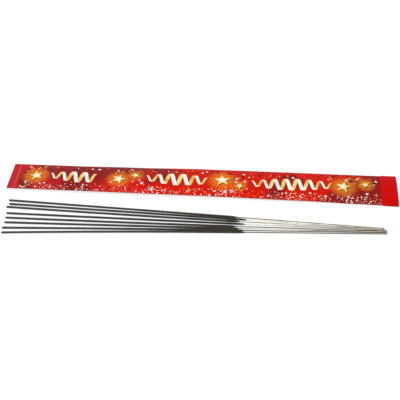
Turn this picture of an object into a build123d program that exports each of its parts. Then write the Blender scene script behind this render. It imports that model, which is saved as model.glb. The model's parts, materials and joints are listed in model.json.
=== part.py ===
from build123d import *
import os
from itertools import accumulate
from math import cos, pi, radians, sin
from typing import NamedTuple

# Sparkler, millimetres
SPARKLER_LENGTH = 400.0
COAT_LENGTH = 250.0
COAT_DIAMETER = 2.5
WIRE_DIAMETER = 1.0
NOSE_LENGTH = 1.6  # rounded end of the coat
TIP_COVER = 1.5  # composition beyond the buried end of the wire
DIP_TAPER = 9.0  # length over which the coat thins out at the dip line
DIP_LIP = 0.12  # thickness of the coat at the end of that taper
BOND_GAP = 0.01  # radial room between wire and coat
BARE_MARGIN = 0.6  # bare wire between the dip line and the straight grip

# Fan on the table
HANDLE_GAP = 0.1  # between neighbouring wires where they are bunched
OUTER_HANDLE_GAP = 0.9  # same, beside the outermost handle
COAT_GAP = 0.3  # least room between neighbouring coats
TABLE_GAP = 16.8  # between the packet's edge and the nearest coat
FAN_SHIFT = -4.3  # sparklers along the packet, from its middle
FAN_TURN = 0.08  # degrees, the whole fan towards the packet

# Packet
PACKET_WIDTH = 46.0
PAPER = 0.3  # thickness of the printed paper
SEAL_WIDTH = 7.0  # glued strip across the closed end
END_SLACK = 18.0  # packet beyond the sparklers it holds
SEAM_WIDTH = 12.0  # lengthwise lap glued along the back
FOOT_WIDTH = 20.0  # flat of the back that lies on the table
EDGE_SHARE = 0.5  # how far up the clear height the folded edges stand
SHOULDER = 45.0  # length over which the front rises from the seal
SEAL_STEP = 0.3  # rise of the front at the edge of the seal
LAYERS = 2  # sparklers on top of each other when packed
PACKING_ROOM = 0.4  # clear height above those layers
MOUTH_DROP = 0.7  # how much flatter the open end is
SHOULDER_STATIONS = 5


class Lie(NamedTuple):
    """How one sparkler lies in the fan, and how its coat turned out."""

    spread: float  # room beyond the least gap to the one before it, where the coats begin
    bow: float  # turn of its coated stretch in degrees, positive towards the packet
    slip: float  # how far its handle end stands out of the bunch
    dip: float  # how much longer than nominal its coat is


# Counted away from the packet
FAN = (
    Lie(spread=0.0, bow=-0.1, slip=-2.3, dip=-3.0),
    Lie(spread=0.21, bow=0.1, slip=-0.5, dip=5.0),
    Lie(spread=0.55, bow=1.18, slip=-2.5, dip=0.0),
    Lie(spread=0.83, bow=0.26, slip=0.0, dip=3.0),
    Lie(spread=1.03, bow=0.95, slip=0.5, dip=-6.0),
    Lie(spread=0.27, bow=0.5, slip=0.9, dip=-4.0),
    Lie(spread=0.0, bow=-0.75, slip=0.0, dip=2.0),
    Lie(spread=0.0, bow=-2.12, slip=0.6, dip=3.0),
)

# Worked out from the sizes above
wire_radius = WIRE_DIAMETER / 2
coat_radius = COAT_DIAMETER / 2
bore_radius = wire_radius + BOND_GAP
lip_radius = wire_radius + DIP_LIP

packet_length = SPARKLER_LENGTH + SEAL_WIDTH + END_SLACK
sealed_end = -packet_length / 2
seal_edge = sealed_end + SEAL_WIDTH
mouth = packet_length / 2
back_height = PAPER
fold = 2 * PAPER  # two layers, where the sheet is folded back on itself
full_room = LAYERS * COAT_DIAMETER + PACKING_ROOM
mouth_room = full_room - MOUTH_DROP

shortest_grip = SPARKLER_LENGTH - COAT_LENGTH - BARE_MARGIN - max(lie.dip for lie in FAN)
handle_gaps = [HANDLE_GAP] * (len(FAN) - 2) + [OUTER_HANDLE_GAP]
handle_pitches = [WIRE_DIAMETER + gap for gap in handle_gaps]
coat_pitches = [COAT_DIAMETER + COAT_GAP + lie.spread for lie in FAN[1:]]
fan_steps = [(wide - narrow) / shortest_grip for wide, narrow in zip(coat_pitches, handle_pitches)]
first_heading = sum(fan_steps) / 2 + radians(FAN_TURN)
headings = [first_heading - turned for turned in accumulate(fan_steps, initial=0.0)]
handle_drops = list(accumulate(handle_pitches, initial=0.0))


def bent_length(lie):
    """Length of the stretch that bows: the coat and the bare margin below it."""
    return COAT_LENGTH + lie.dip + BARE_MARGIN


def grip_length(lie):
    """Length of the straight bare wire that the hand holds."""
    return SPARKLER_LENGTH - bent_length(lie)


def rise(lie, heading):
    """How much nearer to the packet the nose lies than the bunched handles."""
    straight = (grip_length(lie) - lie.slip) * sin(heading)
    return straight + bent_length(lie) * sin(heading + radians(lie.bow) / 2)


bunch_x = SPARKLER_LENGTH / 2 + FAN_SHIFT
first_nose_y = -(PACKET_WIDTH / 2 + TABLE_GAP + coat_radius)
bunch_y = first_nose_y - rise(FAN[0], first_heading)


def centre_line(lie, heading, drop):
    """The straight grip from the handle end, and the bowed stretch up to the nose."""
    way = Vector(-cos(heading), sin(heading))
    bunched = Vector(bunch_x, bunch_y - drop, coat_radius)
    with BuildLine():
        grip = Line(bunched - way * lie.slip, bunched + way * (grip_length(lie) - lie.slip))
        if lie.bow:
            radius = bent_length(lie) / radians(abs(lie.bow))
            bowed = JernArc(grip @ 1, grip % 1, radius, -lie.bow)
        else:
            bowed = Line(grip @ 1, grip @ 1 + way * bent_length(lie))
    return grip, bowed


def stretch(bowed, start, end):
    """Part of the bowed stretch between two distances along it."""
    return bowed.trim(start / bowed.length, end / bowed.length)


def square_to(line, share):
    """Plane across a line at a share of its length."""
    return Plane(line @ share, z_dir=line % share)


def drawn_wire(grip, bowed):
    """Steel wire, cut square: the straight grip and the core inside the coat."""
    core = stretch(bowed, 0, bowed.length - TIP_COVER)
    with BuildPart() as wire:
        with BuildSketch(square_to(grip, 0)):
            Circle(wire_radius)
        extrude(amount=grip.length)
        with BuildLine():
            add(core)
        with BuildSketch(square_to(core, 0)):
            Circle(wire_radius)
        sweep()
    return wire.part


def dipped_coat(bowed):
    """Composition on the wire: an even coat, a round nose, and a taper at the dip line."""
    even = stretch(bowed, BARE_MARGIN + DIP_TAPER, bowed.length - NOSE_LENGTH)
    bore = stretch(bowed, 0, bowed.length - TIP_COVER + BOND_GAP)
    towards_nose = even % 1
    towards_grip = -(even % 0)
    with BuildPart() as coat:
        with BuildLine():
            add(even)
        with BuildSketch(square_to(even, 0)):
            Circle(coat_radius)
        sweep()
        with BuildSketch(Plane(even @ 1, x_dir=towards_nose, z_dir=(0, 0, 1))):
            with BuildLine():
                Bezier((0, coat_radius), (NOSE_LENGTH, coat_radius), (NOSE_LENGTH, 0))
                Polyline((NOSE_LENGTH, 0), (0, 0), (0, coat_radius))
            make_face()
        revolve(axis=Axis(even @ 1, towards_nose))
        with BuildSketch(Plane(even @ 0, x_dir=towards_grip, z_dir=(0, 0, 1))):
            with BuildLine():
                Bezier((0, coat_radius), (DIP_TAPER / 2, coat_radius), (DIP_TAPER, lip_radius))
                Polyline((DIP_TAPER, lip_radius), (DIP_TAPER, 0), (0, 0), (0, coat_radius))
            make_face()
        revolve(axis=Axis(even @ 0, towards_grip))
        with BuildLine():
            add(bore)
        with BuildSketch(square_to(bore, 0)):
            Circle(bore_radius)
        sweep(mode=Mode.SUBTRACT)
    return coat.part


def packet_stations():
    """Places along the packet with the clear height between its back and its front."""
    for number in range(SHOULDER_STATIONS):
        share = number / (SHOULDER_STATIONS - 1)
        swell = (1 - cos(pi * share)) / 2
        yield seal_edge + share * SHOULDER, SEAL_STEP + swell * (full_room - SEAL_STEP)
    yield mouth, mouth_room


def pillow_section(place, half_width, foot, edge, side, crown):
    """Flat foot, sides that rise to the folded edges, and an arched front, drawn across the packet."""
    half_foot = FOOT_WIDTH / 2
    with BuildSketch(Plane.YZ.offset(place)) as section:
        with BuildLine():
            Polyline(
                (-half_width, edge + side),
                (-half_width, edge),
                (-half_foot, foot),
                (half_foot, foot),
                (half_width, edge),
                (half_width, edge + side),
            )
            ThreePointArc((half_width, edge + side), (0, crown), (-half_width, edge + side))
        make_face()
    return section.sketch


def outside_section(place, room):
    """Outline of the packet where its front stands this much off its back."""
    edge = back_height + EDGE_SHARE * room
    return pillow_section(place, PACKET_WIDTH / 2, back_height, edge, fold, back_height + fold + room)


def inside_section(place, room):
    """Outline of the space inside the packet at the same place."""
    foot = back_height + PAPER
    edge = foot + EDGE_SHARE * room
    return pillow_section(place, PACKET_WIDTH / 2 - fold, foot, edge, PAPER / 4, foot + room)


def paper_packet():
    """Folded sleeve: glued flat at one end, swelling like a pillow, open at the other."""
    with BuildPart() as packet:
        loft([outside_section(place, room) for place, room in packet_stations()], ruled=True)
        loft(
            [inside_section(place, room) for place, room in packet_stations()],
            ruled=True,
            mode=Mode.SUBTRACT,
        )
        with BuildSketch(Plane.YZ.offset(sealed_end)):
            with Locations((0, back_height)):
                Rectangle(PACKET_WIDTH, 2 * PAPER, align=(Align.CENTER, Align.MIN))
        extrude(amount=SEAL_WIDTH)
        with BuildSketch(Plane.YZ.offset(sealed_end)):
            Rectangle(SEAM_WIDTH, back_height, align=(Align.CENTER, Align.MIN))
        extrude(amount=packet_length)
    return packet.part


def save(piece, name):
    """Name one finished piece and write it to its own file."""
    piece.label = name
    export_step(piece, f"parts/{name}.step")


os.makedirs("parts", exist_ok=True)

save(paper_packet(), "packet_sleeve")
for number, (lie, heading, drop) in enumerate(zip(FAN, headings, handle_drops), start=1):
    grip, bowed = centre_line(lie, heading, drop)
    save(drawn_wire(grip, bowed), f"sparkler_{number}_wire")
    save(dipped_coat(bowed), f"sparkler_{number}_composition")
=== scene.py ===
"""Looks of a set of hand-held sparklers laid out beside their paper packet."""

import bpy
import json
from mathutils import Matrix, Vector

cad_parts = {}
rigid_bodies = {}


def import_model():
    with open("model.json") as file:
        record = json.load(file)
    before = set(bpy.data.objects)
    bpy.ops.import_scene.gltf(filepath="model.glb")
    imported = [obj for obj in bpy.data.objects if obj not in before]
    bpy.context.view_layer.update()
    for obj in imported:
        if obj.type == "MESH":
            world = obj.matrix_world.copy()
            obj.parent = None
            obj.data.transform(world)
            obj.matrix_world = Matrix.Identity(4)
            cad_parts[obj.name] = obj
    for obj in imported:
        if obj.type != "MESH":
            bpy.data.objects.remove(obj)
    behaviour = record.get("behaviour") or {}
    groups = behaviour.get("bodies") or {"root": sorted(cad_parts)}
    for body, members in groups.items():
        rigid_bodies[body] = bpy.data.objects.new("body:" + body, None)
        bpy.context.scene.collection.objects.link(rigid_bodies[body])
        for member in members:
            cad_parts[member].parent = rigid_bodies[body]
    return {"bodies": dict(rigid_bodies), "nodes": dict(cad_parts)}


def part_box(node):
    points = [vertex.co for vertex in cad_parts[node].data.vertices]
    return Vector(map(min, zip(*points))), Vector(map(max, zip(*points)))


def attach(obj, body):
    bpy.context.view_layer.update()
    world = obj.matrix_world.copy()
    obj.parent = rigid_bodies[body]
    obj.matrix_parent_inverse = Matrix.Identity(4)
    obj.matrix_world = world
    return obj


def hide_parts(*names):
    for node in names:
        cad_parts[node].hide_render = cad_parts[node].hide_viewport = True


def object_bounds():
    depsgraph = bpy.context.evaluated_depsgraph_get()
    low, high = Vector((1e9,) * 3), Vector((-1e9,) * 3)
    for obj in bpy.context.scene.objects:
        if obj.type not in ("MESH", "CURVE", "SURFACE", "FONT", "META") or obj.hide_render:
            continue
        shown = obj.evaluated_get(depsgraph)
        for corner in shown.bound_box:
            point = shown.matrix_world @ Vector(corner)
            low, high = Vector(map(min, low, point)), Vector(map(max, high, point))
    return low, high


bl_info = {
    "name": "Sparkler set",
    "version": (1, 0, 0),
    "blender": (4, 5, 0),
    "location": "View3D > Sidebar > Sparklers",
    "description": "Dipped sparklers on drawn wires and the printed packet they come in",
    "category": "Add Mesh",
}

import json
import math
import bpy
import numpy as np
from functools import partial
from bpy.props import FloatProperty, FloatVectorProperty, IntProperty, PointerProperty
from bpy.types import Node, NodeSocket, Operator, Panel, PropertyGroup
from mathutils import Vector

for leftover in list(bpy.data.objects):
    bpy.data.objects.remove(leftover)
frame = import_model()
CAD_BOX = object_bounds()

MM = 0.001
SPARKLERS = range(1, sum(name.startswith("sparkler_") for name in frame["bodies"]) + 1)
PACKET_LOW, PACKET_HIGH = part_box("packet_sleeve")
WIRE_LOW, WIRE_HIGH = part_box("sparkler_1_wire")
COAT_LOW, COAT_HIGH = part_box("sparkler_1_composition")


# Settings

def linear(code):
    """Linear RGBA of an sRGB hex colour."""
    channels = [int(code[i:i + 2], 16) / 255 for i in (1, 3, 5)]
    return [c / 12.92 if c <= 0.04045 else ((c + 0.055) / 1.055) ** 2.4 for c in channels] + [1.0]


def colour_property(name, description, code):
    """A colour that the sidebar shows, given as an sRGB hex value."""
    return FloatVectorProperty(name=name, description=description, subtype="COLOR", size=4,
                               min=0.0, max=1.0, default=linear(code))


def number_property(name, description, value, **more):
    """A number that the sidebar shows."""
    return FloatProperty(name=name, description=description, default=value, min=0.0, **more)


def length_property(name, description, metres):
    """A length that the sidebar shows."""
    return number_property(name, description, metres, precision=5, unit="LENGTH")


def place_property(name, description, metres):
    """A place that the sidebar shows."""
    return FloatVectorProperty(name=name, description=description, default=metres,
                               subtype="TRANSLATION", unit="LENGTH")


class SparklerSettings(PropertyGroup):
    """Sizes and colours of the wires and their coats."""

    wire_diameter: length_property("Wire diameter", "Drawn steel wire", WIRE_HIGH.z - WIRE_LOW.z)
    coat_diameter: length_property("Coat diameter", "Composition on the wire", COAT_HIGH.z - COAT_LOW.z)
    nose_length: length_property("Nose length", "Rounded end of the coat", 1.6 * MM)
    dip_taper: length_property("Dip taper", "Length over which the coat thins out", 9.0 * MM)
    dip_lip: length_property("Dip lip", "Coat's thickness at the end of the taper", 0.12 * MM)
    grain_size: length_property("Grain size", "Width of the coat's coarse grain", 0.45 * MM)
    grain_height: length_property("Grain height", "How far the grain stands out", 0.045 * MM)
    lump_size: length_property("Lump size", "Length of the coat's slow unevenness", 18.0 * MM)
    lump_height: length_property("Lump height", "How far the coat is uneven", 0.1 * MM)
    grit_size: length_property("Grit size", "Radius of the largest metal grains", 0.07 * MM)
    grit_count: IntProperty(name="Grit per square centimetre",
                            description="Loose grains that stand out of the coat", default=45, min=0)
    # How dark the darkest wire is painted, as painted shade and dark reflections where the wires pile up
    tarnish: number_property("Tarnish", "How much duller the dullest wire is", 0.85, max=1.0)
    wire_colour: colour_property("Wire", "Bright drawn steel", "#cfc8b6")
    # Also the colour of the painted shade on the darker wires
    wire_dark: colour_property("Wire, in the draw marks", "Drawing soap and oxide, and painted shade on the darker wires", "#4a4433")
    coat_colour: colour_property("Coat", "Dry composition", "#474542")
    coat_dark: colour_property("Coat, in the pores", "Denser composition", "#2d2c2b")
    # Darker, browner tone of the coat towards the dip line
    coat_dip: colour_property("Coat, by the dip line", "Darker, browner tone towards the dip line", "#22170a")
    fleck_colour: colour_property("Flecks", "Aluminium and iron filings", "#6b6964")


class PacketSettings(PropertyGroup):
    """Sizes and colours of the printed packet."""

    paper: length_property("Paper", "Thickness of one layer", 0.2 * MM)
    seal_width: length_property("Seal width", "Glued strip across the closed end", 7.0 * MM)
    shoulder: length_property("Shoulder", "Length over which the packet swells", 45.0 * MM)
    end_band: length_property("End band", "Plain band at the open end", 18.0 * MM)
    seam_width: length_property("Seam width", "Lap glued along the back", 12.0 * MM)
    red: colour_property("Red", "Ground of the print", "#d51602")
    crimson: colour_property("Crimson", "Shaded patches of the ground", "#8f1519")
    # Maroon is also the colour of the painted shade along the folds and cut ends
    maroon: colour_property("Maroon", "Darkest specks of the ground", "#4a0b12")
    # Paler red of the painted sheen on the print by the sealed end
    sheen_red: colour_property("Sheen red", "Painted sheen, a paler red, on the print by the sealed end", "#c22029")
    band_red: colour_property("Band red", "Plain bands at both ends", "#cb0200")
    # Pale red of the painted highlight along the seal's crease
    painted_light: colour_property("Crease highlight red", "Painted highlight along the seal's crease", "#e05a5c")
    glow: colour_property("Glow", "Orange shine round the large stars", "#e8841c")
    gold: colour_property("Gold", "Metallic ink", "#dca52f")
    pale_gold: colour_property("Pale gold", "Lightest tone of that ink", "#ffe9a0")
    white: colour_property("White", "White ink", "#f8f3e8")
    raw: colour_property("Inside", "Unprinted paper", "#ddd6c9")


class StageSettings(PropertyGroup):
    """Camera, light and floor."""

    camera_place: place_property("Camera", "Where the camera stands", (50.8 * MM, -819.6 * MM, 667.4 * MM))
    camera_aim: place_property("Aim", "Point in the middle of the picture", (-0.76 * MM, -25.92 * MM, 0.0))
    lens: number_property("Lens", "Focal length on a 36 mm sensor, in millimetres", 86.6)
    key_place: place_property("Key light's place", "It shines from here to the middle", (-0.5, -0.7, 1.5))
    key_strength: number_property("Key light", "Strength, in watts per square metre", 1.8)
    key_spread: number_property("Key light's spread", "How wide and soft it is", math.radians(45),
                                subtype="ANGLE")
    sky: number_property("Sky", "Strength of the even light from all round", 0.5)
    floor_size: length_property("Floor size", "Width of the white table", 6.0)


# Node trees

# Beginnings of the names of node types, tried in this order in each kind of tree
FAMILIES = {
    "SHADER": ["ShaderNode"],
    "GEOMETRY": ["GeometryNode", "FunctionNode", "ShaderNode", "Node"],
}


def feed(node, *inputs, **named):
    """Give inputs, in order or by name, a value or a link, from a socket or from a node's first output."""
    for name, value in [*enumerate(inputs), *named.items()]:
        target = node.inputs[name.replace("_", " ") if name in named else name]
        if isinstance(value, Node):
            value = next(socket for socket in value.outputs if socket.enabled)
        if isinstance(value, NodeSocket):
            node.id_data.links.new(value, target)
        else:
            target.default_value = value


def new_node(tree, kind, *inputs, **named):
    """Add a node: its operation if it has one, its inputs, and by name its settings and further inputs."""
    names = [family + kind for family in FAMILIES[tree.type]]
    node = tree.nodes.new(next(name for name in names if hasattr(bpy.types, name)))
    if inputs and isinstance(inputs[0], str):
        node.operation, *inputs = inputs
    for name in filter(str.islower, list(named)):
        setattr(node, name, named.pop(name))
    feed(node, *inputs, **named)
    return node


def new_finish(name):
    """A material, the function that adds to its nodes, and its shader for the caller to feed."""
    material = bpy.data.materials.new(name)
    material.use_nodes = True
    return material, partial(new_node, material.node_tree), material.node_tree.nodes["Principled BSDF"]


def new_shape_tree(name, **sockets):
    """The function that adds to a new geometry tree, and its inputs: shape, material and those listed."""
    tree = bpy.data.node_groups.new(name, "GeometryNodeTree")
    sockets = {"Geometry": ["Geometry"], "Material": ["Material"], **sockets}
    for kind, labels in sockets.items():
        for label in labels:
            tree.interface.new_socket(label, in_out="INPUT", socket_type=f"NodeSocket{kind}")
    tree.interface.new_socket("Geometry", in_out="OUTPUT", socket_type="NodeSocketGeometry")
    return partial(new_node, tree), tree.nodes.new("NodeGroupInput").outputs


def end_tree(add, shape, given):
    """Finish a geometry tree: its shape as plain geometry, with its material."""
    real = add("RealizeInstances", Geometry=shape)
    finished = add("SetMaterial", Geometry=real, Material=given["Material"])
    return add("GroupOutput", Geometry=finished).id_data


def run_tree(piece, tree, values, solid=0.0):
    """Shape a piece with a tree, and a thickness if one is given, and keep the plain mesh."""
    modifier = piece.modifiers.new(tree.name, "NODES")
    modifier.node_group = tree
    for item in tree.interface.items_tree:
        if item.in_out == "INPUT" and item.name in values:
            modifier[item.identifier] = values[item.name]
    if solid:
        plate = piece.modifiers.new("Thickness", "SOLIDIFY")
        plate.thickness = solid
        plate.offset = 0.0
    keep_plain_mesh(piece)


def keep_plain_mesh(piece):
    """Replace a piece's mesh by what its modifiers make of it."""
    bpy.context.view_layer.update()
    evaluated = piece.evaluated_get(bpy.context.evaluated_depsgraph_get())
    mesh = bpy.data.meshes.new_from_object(evaluated)
    piece.modifiers.clear()
    old = piece.data
    piece.data = mesh
    mesh.name = piece.name
    bpy.data.meshes.remove(old)


def new_piece(name, points, edges=(), faces=()):
    """A mesh object at the origin, with its place in its mesh."""
    mesh = bpy.data.meshes.new(name)
    mesh.from_pydata([tuple(p) for p in points], list(edges), list(faces))
    piece = bpy.data.objects.new(name, mesh)
    bpy.context.collection.objects.link(piece)
    return piece


def note(piece, label, values):
    """Keep a number with each point of a piece, for a tree or a finish to read."""
    attribute = piece.data.attributes.new(label, "FLOAT", "POINT")
    attribute.data.foreach_set("value", values)


# Centre lines of the sparklers

RING_GAP = 1.0 * MM
BOW_POINTS = 60
WIRE_STEP = 3.0 * MM
COAT_STEP = 0.45 * MM
NOSE_RINGS = 10
NOSE_TIP = 0.03  # share of the coat's radius at the very tip
CUT_ROUNDING = 0.1 * MM
CUT_RADIUS = 0.78  # share of the wire's radius at its cut end


def ring_centres(node):
    """Middle of each ring of points of a packed wire, from its buried end to its handle end."""
    points = np.array([v.co for v in frame["nodes"][node].data.vertices])
    points = points[points[:, 0].argsort()]
    breaks = np.where(np.diff(points[:, 0]) > RING_GAP)[0] + 1
    return np.array([(ring.min(0) + ring.max(0)) / 2 for ring in np.split(points, breaks)])


def centre_line(number):
    """Points along one wire: its bowed stretch as a smooth curve, then its straight grip."""
    rings = ring_centres(f"sparkler_{number}_wire")
    bowed = rings[:-1]
    curve = np.polyfit(bowed[:, 0], bowed[:, 1], deg=2)
    along = np.linspace(bowed[0, 0], bowed[-1, 0], BOW_POINTS)
    height = np.full(BOW_POINTS, rings[0, 2])
    points = np.column_stack([along, np.polyval(curve, along), height])
    return np.vstack([points, rings[-1]])


def coat_line(number):
    """Points along one coat, from its nose to its dip line."""
    low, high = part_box(f"sparkler_{number}_composition")
    wire = centre_line(number)
    slope = (wire[1] - wire[0]) / (wire[1, 0] - wire[0, 0])
    nose = wire[0] + slope * (low.x - wire[0, 0])
    dip_y = np.interp(high.x, wire[:, 0], wire[:, 1])
    inside = wire[wire[:, 0] < high.x - RING_GAP]
    return np.vstack([nose, inside, (high.x, dip_y, wire[0, 2])])


def line_piece(name, line, stations):
    """A piece of points on a line, at the stations for its length, for a tree to make a body of."""
    steps = np.linalg.norm(np.diff(line, axis=0), axis=1)
    run = np.concatenate([[0.0], np.cumsum(steps)])
    places = stations(run[-1])
    points = np.column_stack([np.interp(places, run, line[:, axis]) for axis in range(3)])
    return new_piece(name, points, edges=[(i, i + 1) for i in range(len(points) - 1)])


def wire_stations(length):
    """Places of a wire's rings: evenly spaced, and close together at its cut end."""
    return np.append(np.arange(0.0, length - WIRE_STEP, WIRE_STEP), [length - CUT_ROUNDING, length])


def coat_stations(nose_length, length):
    """Places of a coat's rings: closer together the nearer they are to the tip of its nose."""
    turn = np.linspace(0, np.pi / 2, NOSE_RINGS, endpoint=False)
    rest = np.linspace(nose_length, length, int(length / COAT_STEP))
    return np.concatenate([nose_length * (1 - np.cos(turn)), rest])


# Places of the large printed stars: x, y and radius in millimetres, turn in radians
LARGE_STARS = ((-184, 1, 9.0, 0.2), (-92, -2, 8.0, -0.3), (-74, 6, 5.5, 0.5), (22, 2, 9.5, 0.1),
               (41, -6, 5.0, 0.7), (154, 0, 9.0, -0.2), (178, 5, 6.0, 0.4))


# Finishes

def add_specks(add, place, cell, radius):
    """Round specks, one in each cell of a net, and the chances that each cell draws."""
    cells = add("TexVoronoi", Vector=place, Scale=1 / cell)
    chances = add("SeparateColor", Color=cells.outputs["Color"]).outputs
    return add("Math", "LESS_THAN", cells, radius), chances


def drawn_steel(settings):
    """Drawn steel wire: fine draw marks run along it, stretches of it are dull, and each wire is darkened
    by its own share of painted shade.
    """
    mark_width = 0.6 * MM  # much coarser than real draw marks, so that they show
    mark_length = 38.0 * MM
    dull_stretch_length = 36.0 * MM
    handled = 25.0 * MM
    wire_length = WIRE_HIGH.x - WIRE_LOW.x
    material, add, shader = new_finish("drawn steel wire")
    lie = add("Attribute", attribute_name="lie").outputs["Vector"]
    stretched = add("Mapping", Vector=lie, Scale=(1 / mark_length, 1 / mark_width, 1 / mark_width))
    marks = add("TexNoise", Vector=stretched, Scale=1.0, Detail=4.0, Roughness=0.6)
    tone = add("MapRange", Value=marks, From_Min=0.4, From_Max=0.545)

    # Dullness comes and goes along each wire and grows where it is held, and each wire adds its own painted
    # shade, which stands for the shade and dark reflections where the wires pile up
    lengthwise = add("Mapping", Vector=lie, Scale=(1.0, 0.0, 0.0))
    dull_stretches = add("TexNoise", Vector=lengthwise, Scale=1 / dull_stretch_length, Detail=2.0, Roughness=0.6)
    wire_shade = add("Attribute", attribute_name="tarnish").outputs["Fac"]
    along = add("Attribute", attribute_name="along").outputs["Fac"]
    held = add("MapRange", Value=along, From_Min=wire_length - handled, From_Max=wire_length, To_Max=0.08)
    more = add("Math", "ADD", dull_stretches, wire_shade)
    whole = add("Math", "ADD", more, held)
    lightness = add("MapRange", Value=whole, From_Min=0.7, From_Max=1.1, To_Min=1.0, To_Max=0.05)
    bright = add("Math", "MULTIPLY", tone, lightness)
    colour = add("Mix", Factor=bright, A=settings.wire_dark, B=settings.wire_colour, data_type="RGBA")
    dull = add("MapRange", Value=bright, To_Min=0.5, To_Max=0.27)
    relief = add("Bump", Height=marks, Strength=0.25, Distance=0.02 * MM)
    feed(shader, Base_Color=colour, Roughness=dull, Normal=relief, Metallic=1.0)
    return material


def dry_composition(settings):
    """Dried pyrotechnic composition: matte and porous, with specks of filings that catch the light."""
    pore = 0.35 * MM
    speck = 0.24 * MM
    bare_cells = 0.87  # share of the net's cells that hold no filing
    patch = 14.0 * MM
    darkening_stretch = 190.0 * MM
    coat_length = COAT_HIGH.x - COAT_LOW.x
    material, add, shader = new_finish("dry sparkler composition")
    place = add("TexCoord").outputs["Object"]
    pores = add("TexNoise", Vector=place, Scale=1 / pore, Detail=5.0, Roughness=0.65)
    patches = add("TexNoise", Vector=place, Scale=1 / patch, Detail=2.0)
    mixed = add("Math", "ADD", pores, patches)
    tone = add("MapRange", Value=mixed, From_Min=0.7, From_Max=1.26)

    # The coat turns darker and browner towards the dip line
    along = add("Attribute", attribute_name="along").outputs["Fac"]
    to_dip = add("MapRange", Value=along, From_Min=coat_length - darkening_stretch, From_Max=coat_length,
                 To_Max=0.7, interpolation_type="SMOOTHSTEP")

    # Filings lie in a few of the cells of a net
    specks, chances = add_specks(add, place, speck, radius=0.32)
    chosen = add("Math", "GREATER_THAN", chances["Red"], bare_cells)
    filing = add("Math", "MULTIPLY", chosen, specks)
    colour = settings.coat_dark
    for share, over in ((tone, settings.coat_colour), (to_dip, settings.coat_dip),
                        (filing, settings.fleck_colour)):
        colour = add("Mix", Factor=share, A=colour, B=over, data_type="RGBA")
    dull = add("MapRange", Value=filing, To_Min=0.88, To_Max=0.35)
    relief = add("Bump", Height=pores, Strength=0.9, Distance=0.12 * MM)
    feed(shader, Base_Color=colour, Roughness=dull, Metallic=filing, Normal=relief)
    return material


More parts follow.
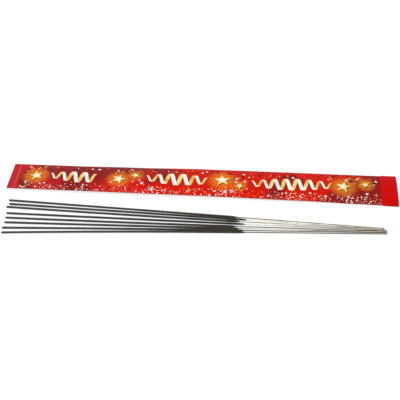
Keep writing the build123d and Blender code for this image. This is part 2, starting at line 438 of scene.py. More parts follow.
def varnished_print(settings):
    """Varnished paper printed red: shaded patches, glows, glitter by the near edge, plain end bands, with a
    painted sheen by the sealed end, a painted highlight on the seal's crease and painted shade along the
    folds and cut ends.
    """
    sheen_end = 0.2 * PACKET_LOW.x
    patch = 55.0 * MM
    brightest = 40.0 * MM
    shade_start, shade_full = 50.0 * MM, 150.0 * MM
    front_height = 4.0 * MM
    shine_core, shine_reach = 0.7, 2.1
    glitter_start = 0.45 * PACKET_LOW.y
    glitter_cell = 1.1 * MM
    band_start = PACKET_LOW.x + 1.6 * settings.seal_width
    fibre = 0.8 * MM
    crease = 1.3 * MM
    crease_middle = PACKET_LOW.x + settings.seal_width + crease / 2
    rim, rim_dark = 0.9 * MM, 0.55
    material, add, shader = new_finish("varnished printed paper")
    place = add("TexCoord").outputs["Object"]
    axes = add("SeparateXYZ", Vector=place).outputs
    from_brightest, from_crease, from_centre = (
        add("Math", "ABSOLUTE", add("Math", "SUBTRACT", axes["X"], middle))
        for middle in (brightest, crease_middle, 0.0))

    # Red ground with a painted sheen that turns it a paler, bluer red by the sealed end, shaded in patches
    # towards both ends
    painted_sheen = add("MapRange", Value=axes["X"], From_Min=PACKET_LOW.x, From_Max=sheen_end, To_Min=1.0,
               To_Max=0.0)
    red, band = (add("Mix", Factor=painted_sheen, A=base_red, B=settings.sheen_red, data_type="RGBA")
                 for base_red in (settings.red, settings.band_red))
    patches = add("TexNoise", Vector=place, Scale=1 / patch, Detail=3.0, Distortion=0.6)
    by_end = add("MapRange", Value=from_brightest, From_Min=shade_start, From_Max=shade_full, To_Max=0.16)
    deep = add("Math", "ADD", patches, by_end)
    shade = add("MapRange", Value=deep, From_Min=0.52, From_Max=0.74, interpolation_type="SMOOTHSTEP")

    # Orange shine round each large star
    shine = 0.0
    for x, y, radius, turn in LARGE_STARS:
        star = (x * MM, y * MM, front_height)
        away = add("VectorMath", "DISTANCE", place, star)
        halo = add("MapRange", Value=away, From_Min=shine_core * radius * MM,
                   From_Max=shine_reach * radius * MM, To_Min=0.75, To_Max=0.0,
                   interpolation_type="SMOOTHSTEP")
        shine = add("Math", "MAXIMUM", halo, shine)

    # Glitter that thickens towards the near edge
    specks, chances = add_specks(add, place, glitter_cell, radius=0.3)
    near = add("MapRange", Value=axes["Y"], From_Min=glitter_start, From_Max=PACKET_LOW.y, To_Max=0.5)
    kept = add("Math", "LESS_THAN", chances["Red"], near)
    glitter = add("Math", "MULTIPLY", kept, specks)
    spark = add("Mix", Factor=chances["Green"], A=settings.white, B=settings.gold, data_type="RGBA")

    # Plain bands at both ends, with a pale painted highlight along the crease of the seal, broken up by the
    # paper's grain
    by_seal = add("Math", "LESS_THAN", axes["X"], band_start)
    by_mouth = add("Math", "GREATER_THAN", axes["X"], PACKET_HIGH.x - settings.end_band)
    plain = add("Math", "MAXIMUM", by_seal, by_mouth)
    fading = add("MapRange", Value=from_crease, From_Max=crease, To_Min=1.4, To_Max=0.0,
                 interpolation_type="SMOOTHSTEP")
    grain = add("TexNoise", Vector=place, Scale=1 / fibre, Detail=3.0)
    crease_highlight = add("Math", "MULTIPLY", fading, grain)

    # The print is darkened towards maroon by painted shade where the paper turns over the folds, and at the
    # cut ends
    across = add("Attribute", attribute_name="across").outputs["Fac"]
    at_fold = add("MapRange", Value=across, From_Min=1 - rim / PACKET_HIGH.y, To_Max=rim_dark)
    at_end = add("MapRange", Value=from_centre, From_Min=PACKET_HIGH.x - rim, From_Max=PACKET_HIGH.x,
                 To_Max=rim_dark)
    dark = add("Math", "MAXIMUM", at_fold, at_end)

    colour = red
    for share, over in ((shade, settings.crimson), (shine, settings.glow), (glitter, spark),
                        (plain, band), (crease_highlight, settings.painted_light), (dark, settings.maroon)):
        colour = add("Mix", Factor=share, A=colour, B=over, data_type="RGBA")
    gloss = add("MapRange", Value=grain, To_Min=0.34, To_Max=0.5)
    relief = add("Bump", Height=grain, Strength=0.06, Distance=0.05 * MM)
    feed(shader, Base_Color=colour, Roughness=gloss, Normal=relief, Specular_IOR_Level=0.06)
    return material


def plain_paper(name, colour, spread, roughness):
    """Paper whose fibres make a faint mottle of its one colour, with slow clouds from handling."""
    fibre = 1.2 * MM
    cloud = 26.0 * MM
    material, add, shader = new_finish(name)
    place = add("TexCoord").outputs["Object"]
    grain = add("TexNoise", Vector=place, Scale=1 / fibre, Detail=6.0)
    clouds = add("TexNoise", Vector=place, Scale=1 / cloud, Detail=2.0)
    mottle = add("Math", "ADD", grain, clouds)
    tone = add("MapRange", Value=mottle, From_Min=0.7, From_Max=1.25)
    darker = [channel * spread for channel in colour[:3]] + [1.0]
    tint = add("Mix", Factor=tone, A=darker, B=colour, data_type="RGBA")
    relief = add("Bump", Height=grain, Strength=0.2, Distance=0.05 * MM)
    feed(shader, Base_Color=tint, Normal=relief, Roughness=roughness, Specular_IOR_Level=0.1)
    return material


def printed_ink(name, colour, deep, metallic=0.0, roughness=0.35):
    """Ink on the paper: its colour runs from one tone to another in soft streaks."""
    streak = 9.0 * MM
    material, add, shader = new_finish(name)
    place = add("TexCoord").outputs["Object"]
    flow = add("TexNoise", Vector=place, Scale=1 / streak, Detail=2.0)
    tone = add("MapRange", Value=flow, From_Min=0.35, From_Max=0.65)
    tint = add("Mix", Factor=tone, A=colour, B=deep, data_type="RGBA")
    feed(shader, Base_Color=tint, Metallic=metallic, Roughness=roughness, Specular_IOR_Level=0.1)
    return material


def seen_share(add):
    """One where a thing is seen, also in metal or through glass, and nothing where it only gives light."""
    path = add("LightPath").outputs
    direct = add("Math", "MAXIMUM", path["Is Camera Ray"], path["Is Glossy Ray"])
    return add("Math", "MAXIMUM", direct, path["Is Transmission Ray"])


def white_table():
    """Matt white table: it takes the shadows, and the eye sees it as white."""
    material, add, shader = new_finish("white table")
    nodes = material.node_tree.nodes
    nodes.remove(shader)
    lit = add("BsdfDiffuse", Color=linear("#e7e7e7"))
    dim = add("BsdfDiffuse", Color=linear("#9b9b99"))
    glow = add("Emission", Strength=0.73)
    bright = add("AddShader", dim, glow)
    mixed = add("MixShader", seen_share(add), lit, bright)
    feed(nodes["Material Output"], Surface=mixed)
    return material


# Shapes of the wires and coats

def add_line(add, given):
    """The given line as a curve that notes how far along it each point is, with that and what is left."""
    line = add("MeshToCurve", Mesh=given["Geometry"])
    along = add("SplineParameter").outputs["Length"]
    noted = add("StoreNamedAttribute", Geometry=line, Name="along", Value=along)
    whole = add("CurveLength", Curve=line)
    return noted, along, add("Math", "SUBTRACT", whole, along)


def add_tube(add, line, radius, given):
    """A round tube along a line, closed at its ends, whose radius may change along it."""
    ring = add("CurvePrimitiveCircle", Resolution=given["Sides"], Radius=1.0)
    return add("CurveToMesh", Curve=line, Profile_Curve=ring, Scale=radius, Fill_Caps=True)


def wire_tree():
    """A round wire along a line, with its cut end slightly rounded and its draw direction noted."""
    add, given = new_shape_tree(
        "Drawn wire", Float=["Radius", "Cut rounding", "Shift", "Tarnish"], Int=["Sides"])
    line, _, left = add_line(add, given)
    place = add("InputPosition")
    axis = add("StoreNamedAttribute", Geometry=line, Name="axis", Value=place, data_type="FLOAT_VECTOR")
    share = add("Math", "DIVIDE", left, given["Cut rounding"])
    narrowed = add("MapRange", Value=share, To_Min=CUT_RADIUS)
    radius = add("Math", "MULTIPLY", narrowed, given["Radius"])
    tube = add_tube(add, axis, radius, given)
    stored_axis = add("InputNamedAttribute", Name="axis", data_type="FLOAT_VECTOR")
    stored_along = add("InputNamedAttribute", Name="along")
    off = add("VectorMath", "SUBTRACT", place, stored_axis)
    parts = add("SeparateXYZ", Vector=off).outputs
    shifted = add("Math", "ADD", stored_along, given["Shift"])
    lie = add("CombineXYZ", X=shifted, Y=parts["Y"], Z=parts["Z"])
    marked = add("StoreNamedAttribute", Geometry=tube, Name="lie", Value=lie, data_type="FLOAT_VECTOR")
    # Each wire notes its share of painted shade for its finish
    painted_light = add("StoreNamedAttribute", Geometry=marked, Name="tarnish", Value=given["Tarnish"])
    return end_tree(add, painted_light, given)


def coat_tree():
    """A grainy coat along a line: round nose, thin dip line, uneven skin, grains that stand out."""
    add, given = new_shape_tree(
        "Dipped coat", Int=["Sides", "Seed"],
        Float=["Radius", "Nose", "Taper", "Lip radius", "Grain size", "Grain height", "Lump size",
               "Lump height", "Grit density", "Grit size"])
    line, along, left = add_line(add, given)

    # The nose is a quarter of an ellipse, and the dip line thins out along a parabola
    falls = []
    for distance, reach in ((along, given["Nose"]), (left, given["Taper"])):
        inside = add("Math", "DIVIDE", distance, reach, use_clamp=True)
        short = add("Math", "SUBTRACT", 1.0, inside)
        falls.append(add("Math", "POWER", short, 2.0))
    swelling = add("Math", "SUBTRACT", 1.0, falls[0])
    nose = add("Math", "SQRT", swelling)
    blunt = add("Math", "MAXIMUM", nose, NOSE_TIP)
    radius = add("MapRange", Value=falls[1], To_Min=given["Radius"], To_Max=given["Lip radius"])
    shaped = add("Math", "MULTIPLY", radius, blunt)
    tube = add_tube(add, line, shaped, given)

    # Fine grain and slow lumps pressed into the skin
    place = add("InputPosition")
    depths = []
    for size, height in (("Grain size", "Grain height"), ("Lump size", "Lump height")):
        scale = add("Math", "DIVIDE", 1.0, given[size])
        noise = add("TexNoise", Vector=place, W=given["Seed"], Scale=scale, Detail=2.0,
                    noise_dimensions="4D")
        depths.append(add("MapRange", Value=noise, From_Min=0.65, From_Max=0.3, To_Max=given[height]))
    depth = add("Math", "ADD", *depths)
    inward = add("Math", "MULTIPLY", depth, -1.0)
    normal = add("InputNormal")
    pressed = add("VectorMath", "SCALE", normal, Scale=inward)
    grained = add("SetPosition", Geometry=tube, Offset=pressed)

    # Grains that stand out of it
    spots = add("DistributePointsOnFaces", Mesh=grained, Density=given["Grit density"],
                Seed=given["Seed"])
    grain = add("MeshIcoSphere", Radius=given["Grit size"], Subdivisions=1)
    width = add("RandomValue", Min=0.35, Max=1.0, Seed=given["Seed"])
    turn = add("RandomValue", Max=(math.tau, math.tau, math.tau), Seed=given["Seed"],
               data_type="FLOAT_VECTOR")
    grains = add("InstanceOnPoints", Points=spots, Instance=grain, Scale=width, Rotation=turn)
    joined = add("JoinGeometry", Geometry=grained)
    feed(joined, Geometry=grains)
    return end_tree(add, joined, given)


# Shape of the packet

class PacketForm:
    """Height of the packet's front and back over the table, along it and across it."""

    LENGTH_STEPS = 240
    WIDTH_STEPS = 44
    FOLD_STEPS = 3
    LAP_STEPS = 7
    # Height of the folded edges in millimetres at shares of the length, from the sealed end to the mouth
    STATIONS = (0.0, 0.15, 0.32, 0.5, 0.75, 0.9, 1.0)
    NEAR_FOLD = (3.3, 3.3, 3.2, 3.2, 2.4, 1.3, 0.7)
    FAR_FOLD = (0.7, 0.9, 2.0, 3.7, 3.9, 3.9, 3.9)
    FRONT_RISE = 2.5 * MM
    ARCH_POWER = 2.2
    FOOT = 0.32 * MM
    FOOT_SPREAD = 1.35  # over one, for a flat foot between the sides that rise to the folds
    LAP = 0.3 * MM
    LAP_START = 0.05  # share of that height at the side that is flush with the back
    LAP_SINK = 0.25  # share of the paper by which the lap is sunk into the back
    FLARE = 0.7 * MM
    BAND_FLARE = 0.8 * MM
    BAND_CREASE = 2 * MM
    RIDGE = 0.3 * MM
    RIDGE_WIDTH = 1.1 * MM
    # Slow waves of the paper: height, length for one radian, slant, phase
    WAVES = ((0.16 * MM, 19 * MM, 1.1, 0.0), (0.09 * MM, 8.3 * MM, -2.3, 0.7))
    PLEAT = 0.22 * MM
    PLEAT_REACH = 16 * MM
    PLEAT_TURNS = 9  # radians from the middle to a fold

    def __init__(self, settings):
        self.settings = settings
        self.length = PACKET_HIGH.x - PACKET_LOW.x

    def sideways(self, x, across):
        """Distance from the packet's middle, a little more towards the mouth and past the band's crease."""
        share = np.clip((x - PACKET_LOW.x) / self.length * 2 - 1, 0, 1)
        past_crease = x - (PACKET_HIGH.x - self.settings.end_band)
        creased = np.clip(past_crease / self.BAND_CREASE, 0, 1) * self.BAND_FLARE
        return across * (PACKET_HIGH.y - self.settings.paper + self.FLARE * share * (across < 0) + creased)

    def chord(self, x, across):
        """Straight line between the two folded edges."""
        share = (x - PACKET_LOW.x) / self.length
        near, far = (smooth_interpolate(share, self.STATIONS, np.multiply(heights, MM))
                     for heights in (self.NEAR_FOLD, self.FAR_FOLD))
        return near + (far - near) * (across + 1) / 2

    def swell(self, x):
        """How far the packet has opened, from nothing at the seal to one past the shoulder."""
        share = (x - PACKET_LOW.x - self.settings.seal_width) / self.settings.shoulder
        return (1 - np.cos(np.pi * np.clip(share, 0, 1))) / 2

    def waves(self, x, across):
        """Slow unevenness of the paper, and pleats beside the seal, none at the folds."""
        slow = sum(height * np.sin(x / length + slant * across + phase)
                   for height, length, slant, phase in self.WAVES)
        past_seal = np.clip(x - PACKET_LOW.x - self.settings.seal_width, 0, None)
        pleats = self.PLEAT * np.exp(-past_seal / self.PLEAT_REACH) * np.sin(self.PLEAT_TURNS * across)
        return (self.swell(x) * slow + (past_seal > 0) * pleats) * (1 - across ** 2)

    def front(self, x, across):
        """Outer face of the front."""
        arch = self.FRONT_RISE * (1 - np.abs(across) ** self.ARCH_POWER)
        from_ridge = x - PACKET_LOW.x - self.settings.seal_width
        ridge = self.RIDGE * np.exp(-(from_ridge / self.RIDGE_WIDTH) ** 2)
        level = self.chord(x, across) + self.settings.paper
        return level + self.swell(x) * arch + ridge + self.waves(x, across)

    def back(self, x, across):
        """Outer face of the back, which sags to the table."""
        chord = self.chord(x, across)
        sag = (chord - self.FOOT) * np.clip(self.FOOT_SPREAD * (1 - across ** 2), 0, 1)
        return chord - self.settings.paper - self.swell(x) * (sag - self.settings.paper)

    def lap(self, x):
        """Points round the lap of the seam: flush with the back on one side, a cut edge on the other."""
        across = np.linspace(-1, 1, self.LAP_STEPS) * self.settings.seam_width / 2 / PACKET_HIGH.y
        back = self.back(x, across)
        proud = self.LAP * np.linspace(self.LAP_START, 1, self.LAP_STEPS)
        upper = np.column_stack([self.sideways(x, across), back + self.LAP_SINK * self.settings.paper])
        lower = np.column_stack([self.sideways(x, across), back - proud])[::-1]
        return np.vstack([upper, lower])

    def section(self, x):
        """Points round the packet at one place: front, far fold, back, near fold."""
        across = np.linspace(-1, 1, self.WIDTH_STEPS)
        sideways = self.sideways(x, across)
        front = np.column_stack([sideways, self.front(x, across)])
        back = np.column_stack([sideways, self.back(x, across)])[::-1]
        return np.vstack([front, self.fold(front[-1], back[0]), back, self.fold(back[-1], front[0])])

    def across(self):
        """How far towards the folds each point of a section lies, from 0 in the middle to 1."""
        face, fold = np.abs(np.linspace(-1, 1, self.WIDTH_STEPS)), np.ones(self.FOLD_STEPS)
        return np.concatenate([face, fold, face, fold])

    def fold(self, start, end):
        """Points of the rounded fold between the front and the back."""
        middle, half = (start + end) / 2, (start - end) / 2
        outward = np.array([np.sign(start[0]) * self.settings.paper, 0.0])
        turns = np.pi * np.arange(1, self.FOLD_STEPS + 1) / (self.FOLD_STEPS + 1)
        return np.array([middle + half * np.cos(t) + outward * np.sin(t) for t in turns])


def smooth_interpolate(value, stations, heights):
    """Heights between stations, with level tangents at each of them."""
    numbers = range(len(stations))
    place = np.interp(value, stations, numbers)
    share = place % 1
    return np.interp(place - share + share * share * (3 - 2 * share), numbers, heights)


def grid_faces(grid):
    """Four-sided faces between neighbours in a grid of points' numbers."""
    corners = (grid[:-1, :-1], grid[1:, :-1], grid[1:, 1:], grid[:-1, 1:])
    return np.stack(corners, axis=-1).reshape(-1, 4).tolist()


def tube_piece(name, places, sections, finishes, closed=False):
    """A tube through sections given as y and z, open at both ends or closed by flat caps."""
    points = [(x, y, z) for x, section in zip(places, sections) for y, z in section]
    grid = np.arange(len(points)).reshape(len(places), -1)
    faces = grid_faces(np.column_stack([grid, grid[:, 0]]))
    if closed:
        faces += [grid[0].tolist(), grid[-1, ::-1].tolist()]
    piece = new_piece(name, points, faces=faces)
    for finish in finishes:
        piece.data.materials.append(finish)
    return piece


# Printed motifs

def star_outline(points, inner):
    """Outline of a star of radius one, with a point upwards."""
    radii = [1.0, inner] * points
    angles = [math.pi / 2 + math.pi * i / points for i in range(2 * points)]
    return [(r * math.cos(a), r * math.sin(a)) for r, a in zip(radii, angles)]


def disc_outline(sides):
    """Outline of a round dot of radius one."""
    return [(math.cos(math.tau * i / sides), math.sin(math.tau * i / sides)) for i in range(sides)]


def motif_shape(name, outline):
    """A flat motif as a fan of triangles about its middle."""
    points = [(0, 0, 0)] + [(x, y, 0) for x, y in outline]
    count = len(outline)
    return new_piece(name, points, faces=[(0, 1 + i, 1 + (i + 1) % count) for i in range(count)])


def add_laying(add, shape, given):
    """Drop every point of a shape on the packet, a little proud of it."""
    start, reach = 50 * MM, 100 * MM
    packet = add("ObjectInfo", Object=given["Packet"]).outputs["Geometry"]
    place = add("InputPosition")
    above = add("VectorMath", "ADD", place, (0, 0, start))
    drop = add("Raycast", Target_Geometry=packet, Source_Position=above, Ray_Direction=(0, 0, -1),
               Ray_Length=reach).outputs["Hit Position"]
    proud = add("CombineXYZ", Z=given["Lift"])
    top = add("VectorMath", "ADD", drop, proud)
    return add("SetPosition", Geometry=shape, Position=top)


def print_tree():
    """Motifs at given spots, laid on the packet from above."""
    add, given = new_shape_tree(
        "Laid print", Object=["Motif", "Packet"], Int=["Subdivision"], Float=["Lift"])
    motif = add("ObjectInfo", Object=given["Motif"]).outputs["Geometry"]
    fine = add("SubdivideMesh", Mesh=motif, Level=given["Subdivision"])
    size, turn = (add("InputNamedAttribute", Name=name) for name in ("size", "turn"))
    spin = add("CombineXYZ", Z=turn)
    placed = add("InstanceOnPoints", Points=given["Geometry"], Instance=fine, Rotation=spin, Scale=size)
    real = add("RealizeInstances", Geometry=placed)
    return end_tree(add, add_laying(add, real, given), given)


def ribbon_tree():
    """A flat ribbon, laid on the packet from above."""
    add, given = new_shape_tree("Laid ribbon", Object=["Packet"], Float=["Lift"])
    return end_tree(add, add_laying(add, given["Geometry"], given), given)


class Coil:
    """A curled party streamer, drawn as the strokes of a flat helix."""

    STEPS = 14
    RAILS = (-1, 0, 1)
    END_SIZE = 0.45  # share of the full swing and width at both ends

    def __init__(self, start, end, start_y, end_y, swing, pitch, width):
        self.start, self.end = start * MM, end * MM
        self.start_y, self.end_y = start_y * MM, end_y * MM
        self.swing, self.pitch, self.width = swing * MM, pitch * MM, width * MM

    def strokes(self, side):
        """Points across every stroke that goes down in front (0) or comes up behind (1)."""
        for turn in range(int((self.end - self.start) / self.pitch)):
            angle = math.pi * (side + np.linspace(0, 1, self.STEPS))
            run = self.pitch * (turn + angle / math.tau)
            share = run / (self.end - self.start)
            size = self.END_SIZE + (1 - self.END_SIZE) * np.sin(np.pi * np.clip(share, 0, 1))
            y = self.start_y + (self.end_y - self.start_y) * share + self.swing * size * np.cos(angle)
            half = self.width / 2 * size
            yield np.array([np.column_stack([self.start + run + rail * half, y]) for rail in self.RAILS])


# In millimetres
COILS = (
    Coil(start=-168, end=-106, start_y=1, end_y=-2, swing=9.5, pitch=12.5, width=4.2),
    Coil(start=-62, end=8, start_y=2, end_y=0, swing=10.0, pitch=13.5, width=4.5),
    Coil(start=54, end=142, start_y=-1, end_y=1, swing=9.5, pitch=12.5, width=4.2),
)


def stroke_mesh(name, side, shift):
    """All strokes of one side of the coils as flat strips."""
    points, faces = [], []
    for coil in COILS:
        for rails in coil.strokes(side):
            grid = len(points) + np.arange(len(rails) * coil.STEPS).reshape(len(rails), -1)
            points += [(x + shift[0], y + shift[1], 0.0) for x, y in np.concatenate(rails)]
            faces += grid_faces(grid.T)
    return new_piece(name, points, faces=faces)


# Operators

class SPARKLERS_OT_wires(Operator):
    """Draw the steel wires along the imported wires"""

    bl_idname = "sparklers.wires"
    bl_label = "Wires"

    SIDES = 24
    # Painted shade of each wire: the darker ones stand for the shade and dark reflections where the wires
    # pile up
    PAINTED_SHADE_SHARES = (0.5, 0.05, 0.3, 0.1, 0.7, 0.0, 0.82, 1.0)  # wire by wire

    def execute(self, context):
        settings = context.scene.sparkler_settings
        tree, finish = wire_tree(), drawn_steel(settings)
        for number, share in zip(SPARKLERS, self.PAINTED_SHADE_SHARES):
            wire = line_piece(f"wire_{number}", centre_line(number), wire_stations)
            run_tree(wire, tree, {
                "Radius": settings.wire_diameter / 2, "Sides": self.SIDES, "Cut rounding": CUT_ROUNDING,
                "Shift": float(number), "Tarnish": settings.tarnish * share, "Material": finish})
            wire.data.shade_smooth()
            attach(wire, f"sparkler_{number}")
            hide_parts(f"sparkler_{number}_wire")
        return {"FINISHED"}


class SPARKLERS_OT_coats(Operator):
    """Dip the composition on the wires"""

    bl_idname = "sparklers.coats"
    bl_label = "Coats"

    SIDES = 28
    PER_CM2 = 1e4  # Blender counts grains per square metre

    def execute(self, context):
        settings = context.scene.sparkler_settings
        tree, finish = coat_tree(), dry_composition(settings)
        stations = partial(coat_stations, settings.nose_length)
        for number in SPARKLERS:
            coat = line_piece(f"composition_{number}", coat_line(number), stations)
            run_tree(coat, tree, {
                "Radius": settings.coat_diameter / 2, "Sides": self.SIDES, "Nose": settings.nose_length,
                "Taper": settings.dip_taper, "Lip radius": settings.wire_diameter / 2 + settings.dip_lip,
                "Grain size": settings.grain_size, "Grain height": settings.grain_height,
                "Lump size": settings.lump_size, "Lump height": settings.lump_height,
                "Grit density": settings.grit_count * self.PER_CM2, "Grit size": settings.grit_size,
                "Seed": number, "Material": finish})
            coat.data.shade_smooth()
            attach(coat, f"sparkler_{number}")
            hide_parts(f"sparkler_{number}_composition")
        return {"FINISHED"}


class SPARKLERS_OT_packet(Operator):
    """Fold the paper packet: sealed at one end, swelling like a pillow, open at the other"""

    bl_idname = "sparklers.packet"
    bl_label = "Packet"

    FRONT_SLOT, BACK_SLOT = 0, 2  # each is followed by the finish of the paper's inside

    def execute(self, context):
        settings = context.scene.packet_settings
        form = PacketForm(settings)
        places = np.linspace(PACKET_LOW.x, PACKET_HIGH.x, form.LENGTH_STEPS)
        inside = plain_paper("raw paper", settings.raw, spread=0.8, roughness=0.9)
        outside = varnished_print(settings)
        reverse = plain_paper("varnished red back", settings.band_red, spread=0.7, roughness=0.38)
        packet = self.sleeve(form, places, (outside, inside, reverse, inside))
        lap = self.seam(form, places, (reverse, inside))
        for piece in (packet, lap):
            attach(piece, "packet")
            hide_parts("packet_sleeve")
        return {"FINISHED"}

    def sleeve(self, form, places, finishes):
        """The sheet round the packet, printed in front and plain behind, raw within and at its cut ends."""
        sections = [form.section(x) for x in places]
        packet = tube_piece("packet", places, sections, finishes)
        note(packet, "across", np.tile(form.across(), len(places)))
        count = len(sections[0])
        back_start = form.WIDTH_STEPS + form.FOLD_STEPS
        back_end = back_start + form.WIDTH_STEPS - 1
        for index, face in enumerate(packet.data.polygons):
            behind = back_start <= index % count < back_end
            face.material_index = self.BACK_SLOT if behind else self.FRONT_SLOT
        walls = packet.modifiers.new("Paper", "SOLIDIFY")
        walls.thickness = form.settings.paper
        walls.offset = -1.0
        walls.material_offset = 1
        walls.material_offset_rim = 1
        keep_plain_mesh(packet)
        packet.data.shade_smooth()
        return packet

    def seam(self, form, places, finishes):
        """The lap glued along the back, raw paper at its cut edge and ends."""
        lap = tube_piece("packet_lap", places, [form.lap(x) for x in places], finishes, closed=True)
        for index, face in enumerate(lap.data.polygons):
            at_edge = index % (2 * form.LAP_STEPS) == form.LAP_STEPS - 1
            at_end = face.loop_total == 2 * form.LAP_STEPS
            face.material_index = int(at_edge or at_end)
        return lap


class SPARKLERS_OT_print(Operator):
    """Print stars, curled streamers and confetti on the packet's front"""

    bl_idname = "sparklers.print"
    bl_label = "Print"

    INK = 0.04 * MM
    LAYERS = {"shadow": 0.02 * MM, "under": 0.05 * MM, "over": 0.08 * MM}
    SHADOW_SHIFT = (0.9 * MM, -0.9 * MM)
    SEED = 7
    MARGINS = (14 * MM, 3 * MM)  # bare of motifs by the sealed end and by the end band
    HEART = 0.5  # share of its star
    THIN_DRIFT = 0.25  # how thick confetti lies at least, against one at most
    DRIFT_LENGTH, DRIFT_PHASE = 23 * MM, 0.6

    def execute(self, context):
        settings = context.scene.packet_settings
        self.settings = settings
        self.packet = bpy.data.objects["packet"]
        self.inks = {
            "gold": printed_ink("gold metallic ink", settings.gold, settings.pale_gold, metallic=0.6),
            "white": printed_ink("white ink", settings.white, linear("#fffdf8"), roughness=0.5),
            "maroon": printed_ink("maroon ink", settings.maroon, linear("#2c060b"), roughness=0.5),
        }
        self.random = np.random.default_rng(self.SEED)
        self.scatter_tree, self.strip_tree = print_tree(), ribbon_tree()
        self.streamers()
        self.large_stars()
        self.small_motifs()
        return {"FINISHED"}

    def scatter(self, name, outline, ink, spots, subdivision=0, layer="under"):
        """Print one motif at every spot, given as x, y, size and turn."""
        motif = motif_shape(f"{name}_motif", outline)
        spots = np.array(spots)
        piece = new_piece(name, np.column_stack([spots[:, :2], np.zeros(len(spots))]))
        for column, label in ((2, "size"), (3, "turn")):
            note(piece, label, spots[:, column])
        self.lay(piece, self.scatter_tree, {"Motif": motif, "Subdivision": subdivision}, ink, layer)
        bpy.data.objects.remove(motif)

    def lay(self, piece, tree, values, ink, layer):
        """Lay one layer of ink on the packet, where it moves with it."""
        values |= {"Packet": self.packet, "Lift": self.LAYERS[layer], "Material": self.inks[ink]}
        run_tree(piece, tree, values, solid=self.INK)
        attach(piece, "packet")

    def streamers(self):
        """Curled streamers: white in front, gold behind, each with a dark shadow."""
        for name, side, ink, layer, shift in (
                ("streamer_shadows", 0, "maroon", "shadow", self.SHADOW_SHIFT),
                ("streamer_backs", 1, "gold", "under", (0.0, 0.0)),
                ("streamer_fronts", 0, "white", "over", (0.0, 0.0))):
            self.lay(stroke_mesh(name, side, shift), self.strip_tree, {}, ink, layer)

    def large_stars(self):
        """Gold stars with white hearts and dark shadows."""
        large = [(x * MM, y * MM, size * MM, turn) for x, y, size, turn in LARGE_STARS]
        shadow_x, shadow_y = self.SHADOW_SHIFT
        shadows = [(x + shadow_x, y + shadow_y, size, turn) for x, y, size, turn in large]
        hearts = [(x, y, size * self.HEART, turn) for x, y, size, turn in large]
        star = star_outline(5, inner=0.45)
        self.scatter("star_shadows", star, "maroon", shadows, subdivision=2, layer="shadow")
        self.scatter("gold_stars", star, "gold", large, subdivision=2)
        self.scatter("white_star_hearts", star, "white", hearts, subdivision=1, layer="over")

    def small_motifs(self):
        """Small stars, glints, confetti that is thickest by the near edge, dark motifs by the far edge."""
        star, dot = star_outline(5, inner=0.42), disc_outline(8)
        spots = self.spots(30, sizes=(1.2, 2.6), across=(-0.75, 0.8))
        self.scatter("small_white_stars", star, "white", spots)
        spots = self.spots(24, sizes=(2.0, 4.2), across=(-0.7, 0.8), upright=True)
        self.scatter("gold_glints", star_outline(4, inner=0.14), "gold", spots, subdivision=1)
        spots = self.spots(190, sizes=(0.35, 0.9), across=(-0.97, -0.55), drifts=True)
        self.scatter("white_confetti", dot, "white", spots)
        spots = self.spots(80, sizes=(0.35, 0.8), across=(-0.9, 0.9))
        self.scatter("gold_confetti", dot, "gold", spots)
        spots = self.spots(60, sizes=(0.6, 1.7), across=(0.15, 0.9))
        self.scatter("maroon_confetti", disc_outline(9), "maroon", spots, layer="shadow")
        spots = self.spots(22, sizes=(1.8, 3.2), across=(0.3, 0.86))
        self.scatter("maroon_stars", star, "maroon", spots, subdivision=1, layer="shadow")

    def spots(self, count, sizes, across, drifts=False, upright=False):
        """Random places on the printed field, with sizes in millimetres, turned at random or upright."""
        left = PACKET_LOW.x + self.MARGINS[0]
        right = PACKET_HIGH.x - self.settings.end_band - self.MARGINS[1]
        found = []
        while len(found) < count:
            x = self.random.uniform(left, right)
            y = self.random.uniform(*across) * PACKET_HIGH.y
            size = self.random.uniform(*sizes) * MM
            turn = self.random.uniform(0, math.tau)
            bare = drifts and self.random.uniform() > self.drift(x)
            if not bare and not self.taken(x, y, size):
                found.append((x, y, size, 0.0 if upright else turn))
        return found

    def drift(self, x):
        """How thick the confetti lies at a place along the packet."""
        wave = math.sin(x / self.DRIFT_LENGTH + self.DRIFT_PHASE) ** 2
        return self.THIN_DRIFT + (1 - self.THIN_DRIFT) * wave

    def taken(self, x, y, size):
        """Whether a motif would lie on a large star or a streamer."""
        on_star = any(math.hypot(x - star_x * MM, y - star_y * MM) < star_radius * MM + size
                      for star_x, star_y, star_radius, turn in LARGE_STARS)
        on_coil = any(coil.start - size < x < coil.end + coil.width + size and abs(y) < coil.swing + size
                      for coil in COILS)
        return on_star or on_coil


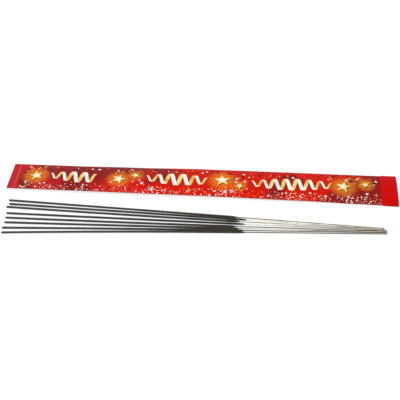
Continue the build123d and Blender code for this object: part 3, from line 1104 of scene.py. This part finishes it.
class SPARKLERS_OT_stage(Operator):
    """Set the white table, the soft light and the camera"""

    bl_idname = "sparklers.stage"
    bl_label = "Stage"

    SENSOR = 36.0

    def execute(self, context):
        settings = context.scene.stage_settings
        context.scene.view_settings.view_transform = "Standard"
        self.table(settings)
        context.scene.world = self.sky(settings)

        # One wide soft lamp, in front of the object, above it and to the left of it
        key = bpy.data.lights.new("key", "SUN")
        key.energy = settings.key_strength
        key.angle = settings.key_spread
        self.stand(context, key, settings.key_place, (0.0, 0.0, 0.0))

        # The photograph's point of view
        camera = bpy.data.cameras.new("camera")
        camera.lens = settings.lens
        camera.sensor_width = self.SENSOR
        context.scene.camera = self.stand(context, camera, settings.camera_place, settings.camera_aim)
        return {"FINISHED"}

    def table(self, settings):
        """A wide white table, just under the object."""
        half, height = settings.floor_size / 2, CAD_BOX[0].z
        corners = [(x * half, y * half, height) for x, y in ((-1, -1), (1, -1), (1, 1), (-1, 1))]
        table = new_piece("table", corners, faces=[(0, 1, 2, 3)])
        table.data.materials.append(white_table())

    def sky(self, settings):
        """Even light from all round, seen as white."""
        world = bpy.data.worlds.new("studio")
        world.use_nodes = True
        add = partial(new_node, world.node_tree)
        strength = add("MapRange", Value=seen_share(add), To_Min=settings.sky, To_Max=1.0)
        feed(world.node_tree.nodes["Background"], Color=linear("#ffffff"), Strength=strength)
        return world

    def stand(self, context, data, place, aim):
        """Put a lamp or a camera at a place, turned towards a point."""
        item = bpy.data.objects.new(data.name, data)
        item.location = place
        item.rotation_euler = (Vector(aim) - item.location).to_track_quat("-Z", "Y").to_euler()
        context.collection.objects.link(item)
        return item


class SPARKLERS_PT_set(Panel):
    """Buttons and sizes of the sparkler set"""

    bl_label = "Sparkler set"
    bl_space_type = "VIEW_3D"
    bl_region_type = "UI"
    bl_category = "Sparklers"

    def draw(self, context):
        for operator in OPERATORS:
            self.layout.operator(operator.bl_idname)
        for name, group in SETTINGS.items():
            box = self.layout.box()
            for key in group.__annotations__:
                box.prop(getattr(context.scene, name), key)


OPERATORS = (SPARKLERS_OT_wires, SPARKLERS_OT_coats, SPARKLERS_OT_packet, SPARKLERS_OT_print,
             SPARKLERS_OT_stage)
SETTINGS = {
    "sparkler_settings": SparklerSettings,
    "packet_settings": PacketSettings,
    "stage_settings": StageSettings,
}
CLASSES = (*SETTINGS.values(), *OPERATORS, SPARKLERS_PT_set)


def register():
    """Make the settings, the operators and the panel known."""
    for item in CLASSES:
        bpy.utils.register_class(item)
    for name, group in SETTINGS.items():
        setattr(bpy.types.Scene, name, PointerProperty(type=group))


def unregister():
    """Take them away again."""
    for name in SETTINGS:
        delattr(bpy.types.Scene, name)
    for item in reversed(CLASSES):
        bpy.utils.unregister_class(item)


def main():
    """Build every piece and the stage."""
    register()
    bpy.ops.sparklers.wires()
    bpy.ops.sparklers.coats()
    bpy.ops.sparklers.packet()
    bpy.ops.sparklers.print()
    bpy.ops.sparklers.stage()


if __name__ == "__main__":
    main()
